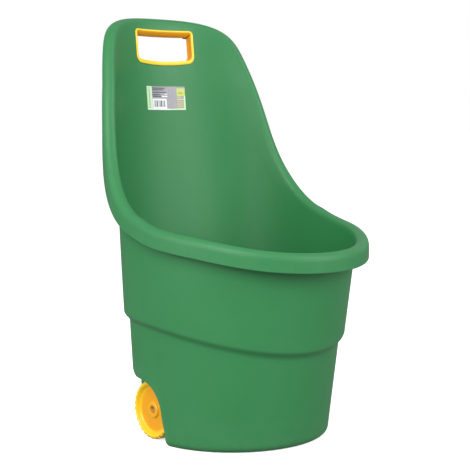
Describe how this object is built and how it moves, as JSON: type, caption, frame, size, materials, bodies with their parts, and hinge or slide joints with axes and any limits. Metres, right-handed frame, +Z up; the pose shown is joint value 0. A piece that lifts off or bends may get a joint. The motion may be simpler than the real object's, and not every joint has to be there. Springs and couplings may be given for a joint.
{
  "type": "garden cart",
  "caption": "Moulded garden cart: a deep tub with a tall curved back, a lined hand hole and wheels on a steel axle.",
  "frame": {"origin": "on the floor, under the middle of the cart's bounding box", "axes": "+Z up; -Y to the low front rim, +Y to the tall back panel with the hand hole; +X to the cart's own left-right axis, with x = 0 its plane of symmetry"},
  "size_m": [0.4934, 0.559, 0.84],
  "materials": {
    "green_plastic": "satin injection-moulded polypropylene, fine grain",
    "yellow_plastic": "semi-gloss moulded plastic",
    "label_film": "printed film sticker, plain colour blocks only",
    "zinc_steel": "zinc-plated, dull",
    "black_plastic": "plain moulded plastic"
  },
  "bodies": {
    "cart": {"tub": "green_plastic", "grip_front": "yellow_plastic", "grip_rear": "yellow_plastic", "label": "label_film", "axle_bearing_left": "black_plastic", "axle_bearing_right": "black_plastic"},
    "axle": {"axle": "zinc_steel", "axle_cap_left": "zinc_steel", "axle_cap_right": "zinc_steel", "inner_washer_left": "zinc_steel", "inner_washer_right": "zinc_steel", "outer_washer_left": "zinc_steel", "outer_washer_right": "zinc_steel"},
    "wheel_left": {"wheel_left": "yellow_plastic"},
    "wheel_right": {"wheel_right": "yellow_plastic"}
  },
  "joints": [
    {"name": "axle_spin", "type": "hinge", "parent": "cart", "child": "axle", "pos_m": [0, 0.0565, 0.058], "axis": [1, 0, 0], "continuous": true},
    {"name": "wheel_left_spin", "type": "hinge", "parent": "axle", "child": "wheel_left", "pos_m": [-0.158, 0.0565, 0.058], "axis": [1, 0, 0], "continuous": true},
    {"name": "wheel_right_spin", "type": "hinge", "parent": "axle", "child": "wheel_right", "pos_m": [0.158, 0.0565, 0.058], "axis": [1, 0, 0], "continuous": true}
  ]
}
